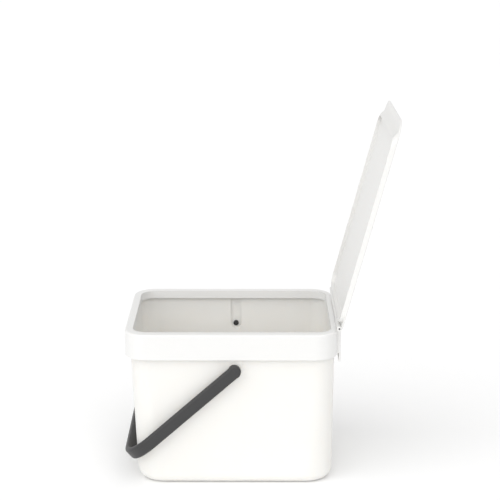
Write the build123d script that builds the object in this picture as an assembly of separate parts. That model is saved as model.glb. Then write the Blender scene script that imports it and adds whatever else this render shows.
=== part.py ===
from build123d import *
from math import cos, radians, sin
import os

os.makedirs("parts", exist_ok=True)

# All lengths are millimetres and all angles degrees.
# The hinge side is +Y, the front is -Y, up is +Z and the origin is under the middle of the rim.

# Rim frame, an upside-down U section that sits over the bucket's edge
rim_length = 256.0
rim_width = 202.0
rim_corner = 27.0
rim_top = 195.0
rim_skirt = 31.4
rim_wall = 2.0
rim_side_ledge = 11.7
rim_front_ledge = 9.4
rim_rear_ledge = 7.0
rim_mouth_corner = 18.0
rim_inner_skirt = 10.0
rim_inner_wall = 1.5
rim_outer_round = 2.2
rim_inner_round = 0.9

# Bucket, a tapered moulding whose front leans more than its rear
mouth_front_gap = 3.2
mouth_rear_gap = 1.1
mouth_side_gap = 3.0
mouth_corner = 23.0
front_draft = 7.3
rear_draft = 0.5
side_draft = 6.0
base_corner = 33.0
bucket_wall = 2.0
bucket_floor = 2.4
foot_round = 12.0
seat_gap = 0.3

# Pivot channels in the two long walls
pivot_y = 4.1
pivot_drop = 13.8
channel_half = 7.0
channel_gap = 1.4
channel_wall = 2.2

# Handle, a flat strap bent into a bail
strap_width = 15.7
strap_thick = 5.5
grip_thick = 6.6
bail_corner = 40.0
strap_outer_round = 3.2
strap_inner_round = 1.4
bail_side_gap = 1.0
bail_wall_gap = 0.3
boss_radius = 8.0
boss_round = 2.2
hub_radius = 7.4
hub_gap = 0.3
stub_radius = 3.0
stub_clearance = 0.05
stub_head_radius = 3.5
stub_head_length = 1.8
handle_drop = 41.6

# Lid, a shallow tray that is moulded flat and stands open on its stop
lid_front_reach = 2.0
lid_side_inset = 7.0
lid_rear_inset = 5.0
lid_corner = 24.0
lid_rear_corner = 8.0
lid_skirt_corner = 14.0
lid_height = 6.7
lid_panel = 2.0
lid_wall = 2.0
lid_edge_round = 1.2
lid_seat_gap = 0.3
lid_ramp_low_inset = 20.5
lid_ramp_high_inset = 11.0
lid_ramp_thick = 6.5
lid_open = 104.9

# Hinge between rim frame and lid
hinge_reach = 1.8
hinge_depth = 3.2
barrel_radius = 3.0
knuckle_width = 12.0
knuckle_inset = 18.0
barrel_inset = 6.0
knuckle_gap = 0.5
notch_clearance = 0.6
hinge_pin_radius = 1.1
hinge_pin_depth = 12.0
pin_seat_clearance = 0.02
pin_run_clearance = 0.05
back_plate_top_gap = 0.9
hook_drop = 10.6
hook_thick = 2.4
back_plate_round = 1.6

# Distance that a cutting shape runs past the face it opens
overrun = 1.0

# Values that follow from those above
half_rim = rim_width / 2
rim_front = rim_length / 2
rim_rear = rim_length / 2
skirt_bottom = rim_top - rim_skirt
bucket_height = rim_top - rim_wall - seat_gap
mouth_front = rim_front - rim_wall - mouth_front_gap
mouth_rear = rim_rear - rim_wall - mouth_rear_gap
mouth_width = rim_width - 2 * (rim_wall + mouth_side_gap)
base_front = mouth_front - front_draft
base_rear = mouth_rear - rear_draft
base_width = mouth_width - 2 * side_draft
pivot_z = skirt_bottom - pivot_drop
channel_reach = half_rim - rim_wall - channel_gap
arm_inner = half_rim + bail_side_gap
arm_outer = arm_inner + strap_thick
lid_bottom = rim_top + lid_seat_gap
lid_top = lid_bottom + lid_height
lid_panel_under = lid_top - lid_panel
lid_front = rim_front + lid_front_reach
lid_width = rim_width - 2 * lid_side_inset
lid_skirt_rear = rim_rear - lid_rear_inset
lid_skirt_front_low = lid_front - lid_ramp_low_inset
lid_skirt_front_high = lid_front - lid_ramp_high_inset
hinge_y = rim_rear + hinge_reach
hinge_z = lid_top - hinge_depth
barrel_end = lid_width / 2 - barrel_inset
back_plate_face = hinge_y + barrel_radius
back_plate_half = half_rim - rim_corner
knuckle_centre = back_plate_half - knuckle_inset


def plan(front, rear, width, corner, z):
    """Rounded rectangle at height z, from y = -front to y = rear."""
    return Pos(0, (rear - front) / 2, z) * RectangleRounded(width, front + rear, corner)


def prism(front, rear, width, corner, low, high):
    """Upright block over that rounded rectangle."""
    return extrude(plan(front, rear, width, corner, low), high - low)


def cross_rod(radius, x_low, x_high, y, z):
    """Cylinder along X between two x values."""
    rod = Cylinder(radius, x_high - x_low, rotation=(0, 90, 0))
    return Pos((x_low + x_high) / 2, y, z) * rod


def slab(x_low, x_high, y_low, y_high, z_low, z_high):
    """Plain box between two corners."""
    block = Box(x_high - x_low, y_high - y_low, z_high - z_low)
    return Pos((x_low + x_high) / 2, (y_low + y_high) / 2, (z_low + z_high) / 2) * block


def on_both_sides(shape):
    """The shape and its mirror image across the middle plane."""
    return shape + mirror(shape, about=Plane.YZ)


def tapered(base_value, mouth_value, z):
    """Value at height z of a size that runs straight from base to mouth."""
    return base_value + (mouth_value - base_value) * z / bucket_height


def bucket_plan(z, inset):
    """Outline of the bucket at height z, moved inwards by inset."""
    return plan(
        tapered(base_front, mouth_front, z) - inset,
        tapered(base_rear, mouth_rear, z) - inset,
        tapered(base_width, mouth_width, z) - 2 * inset,
        tapered(base_corner, mouth_corner, z) - inset,
        z,
    )


def lowest_edges(solid):
    """Edges round the lowest face."""
    return solid.faces().sort_by(Axis.Z)[0].edges()


def channel_outline(half_width):
    """Upright channel with a round bottom centred on the pivot."""
    height = bucket_height - pivot_z
    slot = Pos(pivot_y, pivot_z) * Circle(half_width)
    slot += Pos(pivot_y, pivot_z + height / 2) * Rectangle(2 * half_width, height)
    return Plane.YZ * slot


def make_bucket():
    """Tapered tub with a channel for each handle pivot."""
    shell = loft([bucket_plan(0, 0), bucket_plan(bucket_height, 0)], ruled=True)
    shell = fillet(lowest_edges(shell), foot_round)
    cavity_top = bucket_height + overrun
    cavity = loft([bucket_plan(bucket_floor, bucket_wall), bucket_plan(cavity_top, bucket_wall)], ruled=True)
    cavity = fillet(lowest_edges(cavity), foot_round - bucket_wall)
    start = channel_reach - channel_wall - base_corner / 2
    pad = extrude(Pos(start, 0, 0) * channel_outline(channel_half + channel_wall), channel_reach - start)
    shell += on_both_sides(pad)
    shell -= cavity
    recess = extrude(Pos(start, 0, 0) * channel_outline(channel_half), channel_reach - channel_wall - start)
    bore = cross_rod(stub_radius + stub_clearance, start, channel_reach + overrun, pivot_y, pivot_z)
    return shell - on_both_sides(recess) - on_both_sides(bore)


def rim_mouth(outset, low, high):
    """Upright block over the frame's opening, grown outwards by outset."""
    return prism(
        rim_front - rim_front_ledge + outset,
        rim_rear - rim_rear_ledge + outset,
        rim_width - 2 * rim_side_ledge + 2 * outset,
        rim_mouth_corner + outset,
        low,
        high,
    )


def make_rim_frame():
    """Frame with an outer and an inner skirt, hinge knuckles and a rear hanging lip."""
    block = prism(rim_front, rim_rear, rim_width, rim_corner, skirt_bottom, rim_top)
    block -= rim_mouth(0, skirt_bottom - overrun, rim_top + overrun)
    top_edges = block.faces().sort_by(Axis.Z)[-1]
    block = fillet(top_edges.outer_wire().edges(), rim_outer_round)
    top_edges = block.faces().sort_by(Axis.Z)[-1]
    block = fillet(top_edges.inner_wires()[0].edges(), rim_inner_round)
    under = prism(
        rim_front - rim_wall,
        rim_rear - rim_wall,
        rim_width - 2 * rim_wall,
        rim_corner - rim_wall,
        skirt_bottom - overrun,
        rim_top - rim_wall,
    )
    inner_skirt = rim_mouth(rim_inner_wall, rim_top - rim_inner_skirt, rim_top)
    frame = block - (under - inner_skirt)
    plate = slab(
        -back_plate_half,
        back_plate_half,
        rim_rear - rim_wall / 2,
        back_plate_face,
        skirt_bottom,
        rim_top - back_plate_top_gap,
    )
    lip = slab(
        -back_plate_half,
        back_plate_half,
        back_plate_face - hook_thick,
        back_plate_face,
        skirt_bottom - hook_drop,
        rim_top - back_plate_top_gap,
    )
    plate += lip
    outer_uprights = plate.edges().filter_by(Axis.Z).group_by(Axis.Y)[-1]
    plate = fillet(outer_uprights, back_plate_round)
    frame += plate
    near = knuckle_centre - knuckle_width / 2
    far = knuckle_centre + knuckle_width / 2
    knuckle = cross_rod(barrel_radius, near, far, hinge_y, hinge_z)
    knuckle += slab(near, far, hinge_y - barrel_radius, back_plate_face, rim_top - rim_wall, hinge_z)
    frame += on_both_sides(knuckle)
    seat = cross_rod(hinge_pin_radius + pin_seat_clearance, near - overrun, far + overrun, hinge_y, hinge_z)
    return frame - on_both_sides(seat)


def make_lid_flat():
    """The lid as it lies when it is shut."""
    outline = Pos(0, (hinge_y - lid_front) / 2) * Rectangle(lid_width, lid_front + hinge_y)
    outline = fillet(outline.vertices().group_by(Axis.Y)[-1], lid_rear_corner)
    outline = fillet(outline.vertices().group_by(Axis.Y)[0], lid_corner)
    panel = extrude(Pos(0, 0, lid_panel_under) * outline, lid_panel)
    panel = fillet(panel.faces().sort_by(Axis.Z)[-1].edges(), lid_edge_round)
    low = plan(lid_skirt_front_low, lid_skirt_rear, lid_width, lid_skirt_corner, lid_bottom)
    high = plan(lid_skirt_front_high, lid_skirt_rear, lid_width, lid_skirt_corner, lid_panel_under)
    skirt = loft([low, high], ruled=True)
    inner_width = lid_width - 2 * lid_wall
    inner_corner = lid_skirt_corner - lid_wall
    inner_rear = lid_skirt_rear - lid_wall
    low = plan(lid_skirt_front_low - lid_wall, inner_rear, inner_width, inner_corner, lid_bottom)
    high = plan(lid_skirt_front_high - lid_ramp_thick, inner_rear, inner_width, inner_corner, lid_panel_under)
    skirt -= loft([low, high], ruled=True)
    lid = panel + skirt
    near = knuckle_centre - knuckle_width / 2 - knuckle_gap
    far = knuckle_centre + knuckle_width / 2 + knuckle_gap
    lid += cross_rod(barrel_radius, -barrel_end, barrel_end, hinge_y, hinge_z)
    notch = slab(
        near,
        far,
        hinge_y - barrel_radius - notch_clearance,
        hinge_y + barrel_radius + overrun,
        lid_bottom - overrun,
        lid_top + overrun,
    )
    lid -= on_both_sides(notch)
    bore = cross_rod(
        hinge_pin_radius + pin_run_clearance,
        near - hinge_pin_depth - knuckle_gap,
        barrel_end + overrun,
        hinge_y,
        hinge_z,
    )
    return lid - on_both_sides(bore)


def make_hinge_pin():
    """Plain pin at +X, fixed in the knuckle, on which the lid turns."""
    inner_end = knuckle_centre - knuckle_width / 2 - knuckle_gap - hinge_pin_depth
    return cross_rod(hinge_pin_radius, inner_end, barrel_end, hinge_y, hinge_z)


def bail_reach():
    """Distance from pivot to the grip's inner face that just meets the front wall."""
    half = strap_width / 2
    lean = (mouth_front - base_front) / bucket_height
    drop_sin = sin(radians(handle_drop))
    drop_cos = cos(radians(handle_drop))
    level = pivot_z - half * drop_cos
    run = pivot_y + half * drop_sin + base_front + lean * level + bail_wall_gap
    return run / (drop_cos + lean * drop_sin)


def bail_block(half_width, reach, corner, thickness):
    """Flat block from the pivots to the grip, with its two far corners rounded."""
    face = Pos(0, -reach / 2) * Rectangle(2 * half_width, reach)
    face = fillet(face.vertices().group_by(Axis.Y)[0], corner)
    return Pos(0, 0, -thickness / 2) * extrude(face, thickness)


def beyond_pivots(edges):
    """Edges along the strap's two broad sides, without those at the pivots."""
    along = [edge for edge in edges if abs((edge @ 0).Z - (edge @ 1).Z) < strap_inner_round]
    return [edge for edge in along if edge.center().Y < -overrun]


def make_handle():
    """Bail with a boss, hub and snap stub at each end, lowered to the front wall."""
    reach = bail_reach()
    whole = bail_block(arm_outer, reach + grip_thick, bail_corner, strap_width)
    whole = fillet(beyond_pivots(whole.edges()), strap_outer_round)
    gap = bail_block(arm_inner, reach, bail_corner - strap_thick, strap_width + 2 * overrun)
    bail = whole - gap
    bail = fillet(beyond_pivots(new_edges(whole, gap, combined=bail)), strap_inner_round)
    boss = cross_rod(boss_radius, arm_inner, arm_outer, 0, 0)
    boss = fillet(boss.faces().sort_by(Axis.X)[-1].edges(), boss_round)
    hub_end = channel_reach + hub_gap
    head_start = channel_reach - channel_wall - hub_gap
    boss += cross_rod(hub_radius, hub_end, arm_inner, 0, 0)
    boss += cross_rod(stub_radius, head_start, hub_end, 0, 0)
    boss += cross_rod(stub_head_radius, head_start - stub_head_length, head_start, 0, 0)
    bail += on_both_sides(boss)
    return Pos(0, pivot_y, pivot_z) * Rot(handle_drop, 0, 0) * bail


def opened(shape):
    """Turns a lid piece back from shut to its open stop."""
    return Pos(0, hinge_y, hinge_z) * Rot(-lid_open, 0, 0) * Pos(0, -hinge_y, -hinge_z) * shape


left_pin = make_hinge_pin()
pieces = {
    "bucket": make_bucket(),
    "rim_frame": make_rim_frame(),
    "lid": opened(make_lid_flat()),
    "handle": make_handle(),
    "left_hinge_pin": left_pin,
    "right_hinge_pin": mirror(left_pin, about=Plane.YZ),
}

for name, shape in pieces.items():
    export_step(shape, "parts/" + name + ".step")
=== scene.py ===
from math import cos, radians, sin
import bpy
from mathutils import Matrix, Vector


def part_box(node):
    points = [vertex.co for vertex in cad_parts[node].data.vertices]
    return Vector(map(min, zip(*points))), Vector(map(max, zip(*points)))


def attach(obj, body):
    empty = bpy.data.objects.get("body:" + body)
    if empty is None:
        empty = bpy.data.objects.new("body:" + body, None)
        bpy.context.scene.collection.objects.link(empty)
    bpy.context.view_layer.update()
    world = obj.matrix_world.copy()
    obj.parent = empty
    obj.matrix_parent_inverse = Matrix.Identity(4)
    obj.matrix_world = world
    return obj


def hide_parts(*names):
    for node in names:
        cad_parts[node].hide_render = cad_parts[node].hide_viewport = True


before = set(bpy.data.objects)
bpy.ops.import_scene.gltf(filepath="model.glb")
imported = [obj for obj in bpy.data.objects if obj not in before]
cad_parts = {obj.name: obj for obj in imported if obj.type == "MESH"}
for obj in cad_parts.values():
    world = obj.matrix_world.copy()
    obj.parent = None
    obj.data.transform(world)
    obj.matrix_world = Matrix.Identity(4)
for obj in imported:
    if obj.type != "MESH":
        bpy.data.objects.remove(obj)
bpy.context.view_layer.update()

# Bucket: one tapered tub of warm white polypropylene, about two millimetres thick.
# It is injection moulded with a fine matt grain, and each long wall has an upright
# channel with a round bottom in which the handle's stub turns.
bucket_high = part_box("bucket")[1]
bucket_height = bucket_high.z
base_front = 0.1155
base_rear = 0.1244
base_width = 0.180
base_corner = 0.033
mouth_front = 0.1228
mouth_rear = 0.1249
mouth_width = 0.192
mouth_corner = 0.023
bucket_wall = 0.002
bucket_floor = 0.0024
foot_round = 0.012
pivot_y = 0.0041
pivot_z = 0.1498
channel_half = 0.007
channel_wall = 0.0022
channel_reach = bucket_high.x
stub_bore = 0.00305
pad_depth = 0.016
bucket_edge = 0.0006
corner_steps = 14
foot_steps = 10
fine_sides = 64
# How far a cutting or joining shape runs past the face that it meets
past = 0.001
# A point this close to a face counts as lying on it
touching = 1e-6


def let_go_of_everything():
    """Back to object mode with nothing selected."""
    if bpy.context.object and bpy.context.object.mode != "OBJECT":
        bpy.ops.object.mode_set(mode="OBJECT")
    bpy.ops.object.select_all(action="DESELECT")


def pick(piece):
    """Make one piece the active and only selected object."""
    let_go_of_everything()
    piece.select_set(True)
    bpy.context.view_layer.objects.active = piece


def settle(piece):
    """Put the piece's place into its mesh."""
    pick(piece)
    bpy.ops.object.transform_apply(location=True, rotation=True, scale=True)


def rounded_sheet(front, rear, width, corner, height):
    """Flat sheet with four round corners, from y = -front to y = rear."""
    let_go_of_everything()
    bpy.ops.mesh.primitive_plane_add(size=1, location=(0, (rear - front) / 2, height))
    sheet = bpy.context.object
    sheet.scale = (width, front + rear, 1)
    settle(sheet)
    bpy.ops.object.mode_set(mode="EDIT")
    bpy.ops.mesh.select_all(action="SELECT")
    bpy.ops.mesh.bevel(offset=corner, segments=corner_steps, profile=0.5, affect="VERTICES")
    bpy.ops.object.mode_set(mode="OBJECT")
    return sheet


def select_where(piece, kind, wanted):
    """In edit mode, select the vertices or edges whose middle passes a test."""
    pick(piece)
    bpy.ops.object.mode_set(mode="EDIT")
    bpy.ops.mesh.select_mode(type={"vertices": "VERT", "edges": "EDGE"}[kind])
    bpy.ops.mesh.select_all(action="DESELECT")
    bpy.ops.object.mode_set(mode="OBJECT")
    mesh = piece.data
    for part in getattr(mesh, kind):
        if kind == "vertices":
            middle = part.co
        else:
            middle = (mesh.vertices[part.vertices[0]].co + mesh.vertices[part.vertices[1]].co) / 2
        part.select = wanted(middle)
    bpy.ops.object.mode_set(mode="EDIT")


def loft_between(name, sheets):
    """Walls from each sheet's edge to the next one's, closed with the first and last sheet."""
    let_go_of_everything()
    for sheet in sheets:
        sheet.select_set(True)
    heights = [sheet.data.vertices[0].co.z for sheet in sheets]
    bpy.context.view_layer.objects.active = sheets[0]
    bpy.ops.object.join()
    block = bpy.context.object
    block.name = name
    bpy.ops.object.mode_set(mode="EDIT")
    bpy.ops.mesh.select_all(action="SELECT")
    bpy.ops.mesh.delete(type="ONLY_FACE")
    for low, high in zip(heights, heights[1:]):
        select_where(block, "edges", lambda at: abs(at.z - low) < touching or abs(at.z - high) < touching)
        bpy.ops.mesh.bridge_edge_loops()
    for level in (heights[0], heights[-1]):
        select_where(block, "edges", lambda at: abs(at.z - level) < touching)
        bpy.ops.mesh.edge_face_add()
    bpy.ops.mesh.select_all(action="SELECT")
    bpy.ops.mesh.normals_make_consistent(inside=False)
    bpy.ops.object.mode_set(mode="OBJECT")
    return block


def round_edges(piece, wanted, radius, steps):
    """Bevel the edges whose middle passes a test."""
    select_where(piece, "edges", wanted)
    bpy.ops.mesh.bevel(offset=radius, segments=steps, profile=0.5, affect="EDGES", clamp_overlap=True)
    bpy.ops.object.mode_set(mode="OBJECT")


def fit_together(piece, tool, how):
    """Join a tool shape to the piece or cut it out of it."""
    pick(piece)
    fit = piece.modifiers.new("fit", "BOOLEAN")
    fit.operation = how
    fit.solver = "EXACT"
    fit.object = tool
    bpy.ops.object.modifier_apply(modifier=fit.name)
    bpy.data.objects.remove(tool)


def cross_rod(radius, x_low, x_high, y, z, sides=48):
    """Round rod along X."""
    let_go_of_everything()
    middle = ((x_low + x_high) / 2, y, z)
    turn = (0, radians(90), 0)
    bpy.ops.mesh.primitive_cylinder_add(
        vertices=sides, radius=radius, depth=x_high - x_low, location=middle, rotation=turn
    )
    rod = bpy.context.object
    settle(rod)
    return rod


def slab(x_low, x_high, y_low, y_high, z_low, z_high):
    """Block between two corners."""
    let_go_of_everything()
    middle = ((x_low + x_high) / 2, (y_low + y_high) / 2, (z_low + z_high) / 2)
    bpy.ops.mesh.primitive_cube_add(size=1, location=middle)
    block = bpy.context.object
    block.scale = (x_high - x_low, y_high - y_low, z_high - z_low)
    settle(block)
    return block


def soften(piece, name, radius):
    """Small mould radius on every remaining edge, then smooth shading."""
    sharp_from = radians(32)
    smooth_up_to = radians(40)
    piece.name = name
    piece.data.name = name
    pick(piece)
    edge = piece.modifiers.new("edge", "BEVEL")
    edge.limit_method = "ANGLE"
    edge.angle_limit = sharp_from
    edge.width = radius
    edge.segments = 3
    bpy.ops.object.modifier_apply(modifier=edge.name)
    bpy.ops.object.shade_smooth_by_angle(angle=smooth_up_to)
    weight = piece.modifiers.new("weight", "WEIGHTED_NORMAL")
    weight.keep_sharp = True
    weight.weight = 80
    bpy.ops.object.modifier_apply(modifier=weight.name)


def moulded_plastic(name, colour, shade, rough, grain, grain_size, glow=0.0):
    """Injection-moulded plastic with a faint flow shade and a fine matt grain."""
    material = bpy.data.materials.new(name)
    material.use_nodes = True
    nodes = material.node_tree.nodes
    links = material.node_tree.links
    shader = nodes["Principled BSDF"]
    shader.inputs["IOR"].default_value = 1.49
    shader.inputs["Subsurface Weight"].default_value = glow
    shader.inputs["Subsurface Radius"].default_value = (0.004, 0.0036, 0.0032)
    shader.inputs["Subsurface Scale"].default_value = 1.0
    place = nodes.new("ShaderNodeTexCoord")
    flow = nodes.new("ShaderNodeTexNoise")
    flow.inputs["Scale"].default_value = 9.0
    flow.inputs["Detail"].default_value = 3.0
    links.new(place.outputs["Object"], flow.inputs["Vector"])
    tint = nodes.new("ShaderNodeMix")
    tint.data_type = "RGBA"
    tint.inputs["A"].default_value = (*colour, 1)
    tint.inputs["B"].default_value = (*shade, 1)
    links.new(flow.outputs["Fac"], tint.inputs["Factor"])
    links.new(tint.outputs["Result"], shader.inputs["Base Color"])
    matt = nodes.new("ShaderNodeTexNoise")
    matt.inputs["Scale"].default_value = 55.0
    matt.inputs["Detail"].default_value = 5.0
    links.new(place.outputs["Object"], matt.inputs["Vector"])
    unevenness = 0.05
    spread = nodes.new("ShaderNodeMapRange")
    spread.inputs["To Min"].default_value = rough - unevenness
    spread.inputs["To Max"].default_value = rough + unevenness
    links.new(matt.outputs["Fac"], spread.inputs["Value"])
    links.new(spread.outputs["Result"], shader.inputs["Roughness"])
    pits = nodes.new("ShaderNodeTexNoise")
    pits.inputs["Scale"].default_value = grain_size
    pits.inputs["Detail"].default_value = 2.0
    links.new(place.outputs["Object"], pits.inputs["Vector"])
    bump = nodes.new("ShaderNodeBump")
    bump.inputs["Strength"].default_value = grain
    bump.inputs["Distance"].default_value = 0.00005
    links.new(pits.outputs["Fac"], bump.inputs["Height"])
    links.new(bump.outputs["Normal"], shader.inputs["Normal"])
    return material


def bucket_size(base_value, mouth_value, height):
    """Size at a height, on the straight run from base to mouth."""
    return base_value + (mouth_value - base_value) * height / bucket_height


def bucket_sheet(height, inset):
    """Sheet of the bucket's outline at a height, moved inwards by inset."""
    return rounded_sheet(
        bucket_size(base_front, mouth_front, height) - inset,
        bucket_size(base_rear, mouth_rear, height) - inset,
        bucket_size(base_width, mouth_width, height) - 2 * inset,
        bucket_size(base_corner, mouth_corner, height) - inset,
        height,
    )


def channel_block(side, half_width, inner, outer):
    """Upright block with a round bottom, over one pivot."""
    x_low, x_high = sorted((side * inner, side * outer))
    block = cross_rod(half_width, x_low, x_high, pivot_y, pivot_z, fine_sides)
    upright = slab(x_low, x_high, pivot_y - half_width, pivot_y + half_width, pivot_z, bucket_height)
    fit_together(block, upright, "UNION")
    return block


bucket = loft_between("bucket_shell", [bucket_sheet(0, 0), bucket_sheet(bucket_height, 0)])
round_edges(bucket, lambda at: at.z < touching, foot_round, foot_steps)
pad_start = channel_reach - pad_depth
for side in (-1, 1):
    pad = channel_block(side, channel_half + channel_wall, pad_start, channel_reach)
    fit_together(bucket, pad, "UNION")
cavity_top = bucket_height + past
cavity = loft_between(
    "cavity", [bucket_sheet(bucket_floor, bucket_wall), bucket_sheet(cavity_top, bucket_wall)]
)
round_edges(cavity, lambda at: at.z < bucket_floor + touching, foot_round - bucket_wall, foot_steps)
fit_together(bucket, cavity, "DIFFERENCE")
for side in (-1, 1):
    recess = channel_block(side, channel_half, pad_start, channel_reach - channel_wall)
    fit_together(bucket, recess, "DIFFERENCE")
    ends = sorted((side * pad_start, side * (channel_reach + past)))
    bore = cross_rod(stub_bore, *ends, pivot_y, pivot_z, fine_sides)
    fit_together(bucket, bore, "DIFFERENCE")
soften(bucket, "bucket_shell", bucket_edge)
bucket.data.materials.clear()
bucket.data.materials.append(
    moulded_plastic(
        "bucket_white",
        colour=(0.838, 0.826, 0.796),
        shade=(0.826, 0.814, 0.784),
        rough=0.42,
        grain=0.35,
        grain_size=1500,
        glow=0.3,
    )
)
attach(bucket, "bucket")
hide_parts("bucket")

# Rim frame: an upside-down U of cool white polypropylene that lifts off the bucket.
# Its outer skirt covers the bucket's edge, its inner skirt hangs inside the mouth, and
# its rear carries a plate with a hanging lip and two knuckles for the lid's hinge.
rim_low, rim_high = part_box("rim_frame")
rim_front = -rim_low.y
rim_rear = rim_front
rim_width = rim_high.x - rim_low.x
rim_corner = 0.027
rim_top = 0.195
rim_skirt = 0.0314
rim_wall = 0.002
side_ledge = 0.0117
front_ledge = 0.0094
rear_ledge = 0.007
rim_mouth_corner = 0.018
rim_inner_skirt = 0.010
rim_inner_wall = 0.0015
rim_outer_round = 0.0022
hinge_y = 0.1298
hinge_z = 0.1988
barrel_radius = 0.003
knuckle_near = 0.050
knuckle_far = 0.062
pin_bore = 0.00112
plate_face = rim_high.y
plate_half = 0.074
plate_top = 0.1941
lip_bottom = rim_low.z
lip_thick = 0.0024
plate_round = 0.0016
rim_edge = 0.0005
rim_steps = 6


def upright_block(inset, low, high):
    """Block over the rim's outline moved inwards by inset."""
    sheets = [
        rounded_sheet(
            rim_front - inset, rim_rear - inset, rim_width - 2 * inset, rim_corner - inset, level
        )
        for level in (low, high)
    ]
    return loft_between("rim_block", sheets)


def mouth_block(outset, low, high):
    """Block over the rim's opening grown outwards by outset."""
    sheets = [
        rounded_sheet(
            rim_front - front_ledge + outset,
            rim_rear - rear_ledge + outset,
            rim_width - 2 * side_ledge + 2 * outset,
            rim_mouth_corner + outset,
            level,
        )
        for level in (low, high)
    ]
    return loft_between("mouth_block", sheets)


skirt_bottom = rim_top - rim_skirt
rim = upright_block(0, skirt_bottom, rim_top)
round_edges(rim, lambda at: at.z > rim_top - touching, rim_outer_round, rim_steps)
fit_together(rim, mouth_block(0, skirt_bottom - past, rim_top + past), "DIFFERENCE")
hollow = upright_block(rim_wall, skirt_bottom - past, rim_top - rim_wall)
kept = mouth_block(rim_inner_wall, rim_top - rim_inner_skirt, rim_top)
fit_together(hollow, kept, "DIFFERENCE")
fit_together(rim, hollow, "DIFFERENCE")
plate = slab(-plate_half, plate_half, rim_rear - rim_wall / 2, plate_face, skirt_bottom, plate_top)
lip = slab(-plate_half, plate_half, plate_face - lip_thick, plate_face, lip_bottom, plate_top)
fit_together(plate, lip, "UNION")
round_edges(
    plate,
    lambda at: at.y > plate_face - touching and abs(at.x) > plate_half - touching,
    plate_round,
    rim_steps,
)
fit_together(rim, plate, "UNION")
for side in (-1, 1):
    ends = sorted((side * knuckle_near, side * knuckle_far))
    knuckle = cross_rod(barrel_radius, *ends, hinge_y, hinge_z)
    web = slab(*ends, hinge_y - barrel_radius, plate_face, rim_top - rim_wall, hinge_z)
    fit_together(knuckle, web, "UNION")
    fit_together(rim, knuckle, "UNION")
    bore_ends = (ends[0] - past, ends[1] + past)
    fit_together(rim, cross_rod(pin_bore, *bore_ends, hinge_y, hinge_z), "DIFFERENCE")
soften(rim, "rim_moulding", rim_edge)
rim.data.materials.clear()
rim.data.materials.append(
    moulded_plastic(
        "rim_white",
        colour=(0.80, 0.797, 0.785),
        shade=(0.788, 0.784, 0.772),
        rough=0.38,
        grain=0.25,
        grain_size=1700,
        glow=0.05,
    )
)
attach(rim, "rim")
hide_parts("rim_frame")

# Hinge pins: two plain grey plastic pins, pressed into the rim's knuckles, on which
# the lid's barrel turns. They show at the barrel's two ends and beside the knuckles.
pin_material = moulded_plastic(
    "pin_grey",
    colour=(0.07, 0.07, 0.074),
    shade=(0.055, 0.055, 0.06),
    rough=0.4,
    grain=0.2,
    grain_size=1800,
)
for name in ("left_hinge_pin", "right_hinge_pin"):
    pin = bpy.data.objects[name]
    for place in pin.material_slots:
        place.material = pin_material

# Lid: a shallow tray of cool white polypropylene, moulded flat and standing open on
# its stop. A skirt hangs from its panel, slanted at the front below the finger lip,
# and a barrel along its rear edge takes the two hinge pins.
lid_front = 0.130
lid_width = 0.188
lid_corner = 0.024
lid_rear_corner = 0.008
lid_skirt_corner = 0.014
lid_seat_gap = 0.0003
lid_height = 0.0067
lid_panel = 0.002
lid_bottom = rim_top + lid_seat_gap
lid_top = lid_bottom + lid_height
lid_panel_under = lid_top - lid_panel
lid_wall = 0.002
lid_edge_round = 0.0012
lid_edge = 0.0004
lid_steps = 5
skirt_overlap = 0.0005
lid_skirt_rear = 0.123
lid_skirt_front_low = 0.1095
lid_skirt_front_high = 0.119
lid_ramp_thick = 0.0065
lid_open = radians(104.9)
barrel_inset = 0.006
barrel_end = lid_width / 2 - barrel_inset
notch_gap = 0.0005
notch_depth = 0.0006
lid_bore = 0.00115
bore_start = 0.037


def panel_sheet(level):
    """Sheet of the lid's outline, with large front corners and small rear ones."""
    let_go_of_everything()
    bpy.ops.mesh.primitive_plane_add(size=1, location=(0, (hinge_y - lid_front) / 2, level))
    sheet = bpy.context.object
    sheet.scale = (lid_width, lid_front + hinge_y, 1)
    settle(sheet)
    for edge, corner in ((-lid_front, lid_corner), (hinge_y, lid_rear_corner)):
        select_where(sheet, "vertices", lambda at: abs(at.y - edge) < touching)
        bpy.ops.mesh.bevel(offset=corner, segments=corner_steps, profile=0.5, affect="VERTICES")
        bpy.ops.object.mode_set(mode="OBJECT")
    return sheet


lid = loft_between("lid_tray", [panel_sheet(lid_panel_under), panel_sheet(lid_top)])
round_edges(lid, lambda at: at.z > lid_top - touching, lid_edge_round, lid_steps)
skirt = loft_between(
    "lid_skirt",
    [
        rounded_sheet(lid_skirt_front_low, lid_skirt_rear, lid_width, lid_skirt_corner, lid_bottom),
        rounded_sheet(
            lid_skirt_front_high, lid_skirt_rear, lid_width, lid_skirt_corner, lid_panel_under + skirt_overlap
        ),
    ],
)
inner_width = lid_width - 2 * lid_wall
inner_corner = lid_skirt_corner - lid_wall
inner_rear = lid_skirt_rear - lid_wall
tray_low = lid_bottom - past
lean = (lid_skirt_front_high - lid_ramp_thick - lid_skirt_front_low + lid_wall) / (
    lid_panel_under - lid_bottom
)
tray_front_low = lid_skirt_front_low - lid_wall - lean * past
tray_hollow = loft_between(
    "tray_hollow",
    [
        rounded_sheet(tray_front_low, inner_rear, inner_width, inner_corner, tray_low),
        rounded_sheet(
            lid_skirt_front_high - lid_ramp_thick, inner_rear, inner_width, inner_corner, lid_panel_under
        ),
    ],
)
fit_together(lid, skirt, "UNION")
fit_together(lid, tray_hollow, "DIFFERENCE")
fit_together(lid, cross_rod(barrel_radius, -barrel_end, barrel_end, hinge_y, hinge_z), "UNION")
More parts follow.
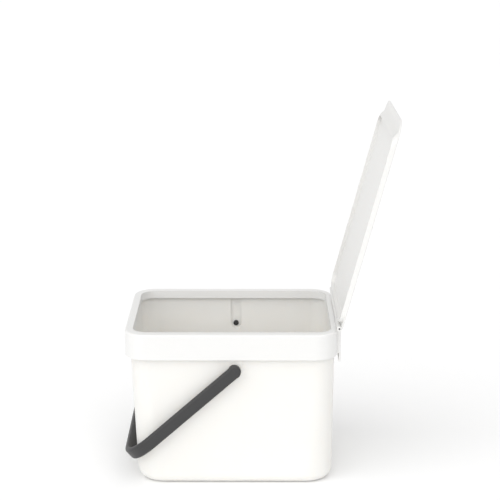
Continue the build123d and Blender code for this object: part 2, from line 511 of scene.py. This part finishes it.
for side in (-1, 1):
    ends = sorted((side * (knuckle_near - notch_gap), side * (knuckle_far + notch_gap)))
    notch_start = hinge_y - barrel_radius - notch_depth
    notch_end = hinge_y + barrel_radius + past
    notch = slab(*ends, notch_start, notch_end, lid_bottom - past, lid_top + past)
    fit_together(lid, notch, "DIFFERENCE")
    ends = sorted((side * bore_start, side * (barrel_end + past)))
    fit_together(lid, cross_rod(lid_bore, *ends, hinge_y, hinge_z), "DIFFERENCE")
soften(lid, "lid_moulding", lid_edge)
hinge = Vector((0, hinge_y, hinge_z))
lid.matrix_world = (
    Matrix.Translation(hinge) @ Matrix.Rotation(-lid_open, 4, "X") @ Matrix.Translation(-hinge)
)
settle(lid)
lid.data.materials.clear()
lid.data.materials.append(
    moulded_plastic(
        "lid_white",
        colour=(0.80, 0.796, 0.78),
        shade=(0.786, 0.782, 0.766),
        rough=0.38,
        grain=0.25,
        grain_size=1700,
        glow=0.05,
    )
)
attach(lid, "lid")
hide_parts("lid")

# Handle: a bail of soft matt dark grey plastic, a flat strap with rounded edges that
# thickens at the grip. Each arm ends in a round boss whose hub and snap stub turn in
# the bucket's channel. It hangs down against the front wall.
half_rim = rim_width / 2
side_gap = 0.001
strap_thick = 0.0055
arm_inner = half_rim + side_gap
arm_outer = arm_inner + strap_thick
strap_width = 0.0157
grip_thick = 0.0066
bail_corner = 0.040
gap_corner = bail_corner - strap_thick
strap_outer_round = 0.0032
strap_inner_round = 0.0014
handle_edge = 0.0003
bail_steps = 20
outer_steps = 7
inner_steps = 4
# Chords of the round corner stay this close to its true line
chord_slack = 0.0003
boss_radius = 0.008
boss_round = 0.0022
hub_radius = 0.0074
stub_radius = 0.003
head_radius = 0.0035
head_length = 0.0018
hub_gap = 0.0003
wall_gap = 0.0003
handle_drop = radians(41.6)
wall_lean = (mouth_front - base_front) / bucket_height
fall = strap_width / 2
level = pivot_z - fall * cos(handle_drop)
run = pivot_y + fall * sin(handle_drop) + base_front + wall_lean * level + wall_gap
bail_reach = run / (cos(handle_drop) + wall_lean * sin(handle_drop))


def bail_block(half_width, reach, corner, thick):
    """Flat block in the handle's plane from the pivots to the grip, with two round corners."""
    let_go_of_everything()
    bpy.ops.mesh.primitive_plane_add(size=1, location=(0, -reach / 2, -thick / 2))
    block = bpy.context.object
    block.scale = (2 * half_width, reach, 1)
    settle(block)
    select_where(block, "vertices", lambda at: at.y < -reach / 2)
    bpy.ops.mesh.bevel(offset=corner, segments=bail_steps, profile=0.5, affect="VERTICES")
    bpy.ops.mesh.select_all(action="SELECT")
    bpy.ops.mesh.extrude_region_move(TRANSFORM_OT_translate={"value": (0, 0, thick)})
    bpy.ops.mesh.select_all(action="SELECT")
    bpy.ops.mesh.normals_make_consistent(inside=False)
    bpy.ops.object.mode_set(mode="OBJECT")
    return block


def on_gap_edge(at):
    """Whether a point on a broad side of the strap lies on its inner edge."""
    across = abs(at.x) - (arm_inner - gap_corner)
    along = -at.y - (bail_reach - gap_corner)
    if across > 0 and along > 0:
        away = (across**2 + along**2) ** 0.5 - gap_corner
    else:
        away = max(abs(at.x) - arm_inner, -at.y - bail_reach)
    return abs(abs(at.z) - strap_width / 2) < touching and abs(away) < chord_slack and at.y < -past


bail = bail_block(arm_outer, bail_reach + grip_thick, bail_corner, strap_width)
round_edges(
    bail,
    lambda at: abs(abs(at.z) - strap_width / 2) < touching and at.y < -past,
    strap_outer_round,
    outer_steps,
)
gap = bail_block(arm_inner, bail_reach, gap_corner, strap_width + 4 * past)
select_where(gap, "vertices", lambda at: at.y > -touching)
bpy.ops.transform.translate(value=(0, past, 0))
bpy.ops.object.mode_set(mode="OBJECT")
fit_together(bail, gap, "DIFFERENCE")
round_edges(bail, on_gap_edge, strap_inner_round, inner_steps)
for side in (-1, 1):
    ends = sorted((side * arm_inner, side * arm_outer))
    boss = cross_rod(boss_radius, *ends, 0, 0, fine_sides)
    round_edges(boss, lambda at: abs(at.x) > arm_outer - touching, boss_round, inner_steps)
    hub_end = channel_reach + hub_gap
    head_start = channel_reach - channel_wall - hub_gap
    ends = sorted((side * hub_end, side * (arm_inner + past)))
    fit_together(boss, cross_rod(hub_radius, *ends, 0, 0, fine_sides), "UNION")
    ends = sorted((side * head_start, side * (hub_end + past)))
    fit_together(boss, cross_rod(stub_radius, *ends, 0, 0), "UNION")
    ends = sorted((side * (head_start - head_length), side * head_start))
    fit_together(boss, cross_rod(head_radius, *ends, 0, 0), "UNION")
    fit_together(bail, boss, "UNION")
soften(bail, "bail_handle", handle_edge)
pivot = Matrix.Translation((0, pivot_y, pivot_z))
bail.matrix_world = pivot @ Matrix.Rotation(handle_drop, 4, "X")
settle(bail)
bail.data.materials.clear()
bail.data.materials.append(
    moulded_plastic(
        "handle_grey",
        colour=(0.038, 0.038, 0.039),
        shade=(0.033, 0.033, 0.034),
        rough=0.45,
        grain=0.3,
        grain_size=1500,
    )
)
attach(bail, "handle")
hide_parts("handle")

# Floor: a plain pale sheet under the bin, far larger than it.
floor_size = 60
floor_middle = (-20, 0, 0)
let_go_of_everything()
bpy.ops.mesh.primitive_plane_add(size=floor_size, location=floor_middle)
floor = bpy.context.object
floor.name = "studio_floor"
settle(floor)
paper = bpy.data.materials.new("white_paper")
paper.use_nodes = True
sheet_nodes = paper.node_tree.nodes
sheet_links = paper.node_tree.links
sheet_place = sheet_nodes.new("ShaderNodeTexCoord")
fibre = sheet_nodes.new("ShaderNodeTexNoise")
fibre.inputs["Scale"].default_value = 20.0
sheet_links.new(sheet_place.outputs["Object"], fibre.inputs["Vector"])
sheet_tint = sheet_nodes.new("ShaderNodeMix")
sheet_tint.data_type = "RGBA"
sheet_tint.inputs["A"].default_value = (0.98, 0.98, 0.98, 1)
sheet_tint.inputs["B"].default_value = (0.99, 0.99, 0.99, 1)
sheet_links.new(fibre.outputs["Fac"], sheet_tint.inputs["Factor"])
sheet_links.new(sheet_tint.outputs["Result"], sheet_nodes["Principled BSDF"].inputs["Base Color"])
sheet_nodes["Principled BSDF"].inputs["Roughness"].default_value = 0.9
floor.data.materials.append(paper)

# Light: a bright even studio surround and one very wide soft lamp, high on the
# camera's side and a little to the bin's front.
world = bpy.data.worlds.new("studio")
bpy.context.scene.world = world
world.use_nodes = True
surround = world.node_tree.nodes["Background"]
surround.inputs["Color"].default_value = (1, 1, 1, 1)
surround.inputs["Strength"].default_value = 0.66
bpy.context.scene.view_settings.view_transform = "Standard"
let_go_of_everything()
bpy.ops.object.light_add(type="SUN", location=(1.4, -0.5, 1.6))
lamp = bpy.context.object
lamp.name = "wide_soft_lamp"
lamp.data.energy = 1.85
lamp.data.angle = radians(95)
lamp_aim = Vector((-0.68, 0.25, -0.69))
lamp.rotation_euler = lamp_aim.to_track_quat("-Z", "Y").to_euler()

# Camera: level with a person looking down a little at the bin's long side.
camera_data = bpy.data.cameras.new("photo_camera")
camera = bpy.data.objects.new("photo_camera", camera_data)
bpy.context.scene.collection.objects.link(camera)
camera_data.sensor_width = 36.0
camera_data.lens = 105.86
camera_data.clip_end = 100.0
pitch = radians(14.53)
yaw = radians(-0.13)
look = Vector((-cos(pitch) * cos(yaw), cos(pitch) * sin(yaw), -sin(pitch)))
camera.rotation_mode = "QUATERNION"
camera.rotation_quaternion = look.to_track_quat("-Z", "Y")
camera.location = (1.7660, 0.0267, 0.7313)
bpy.context.scene.camera = camera
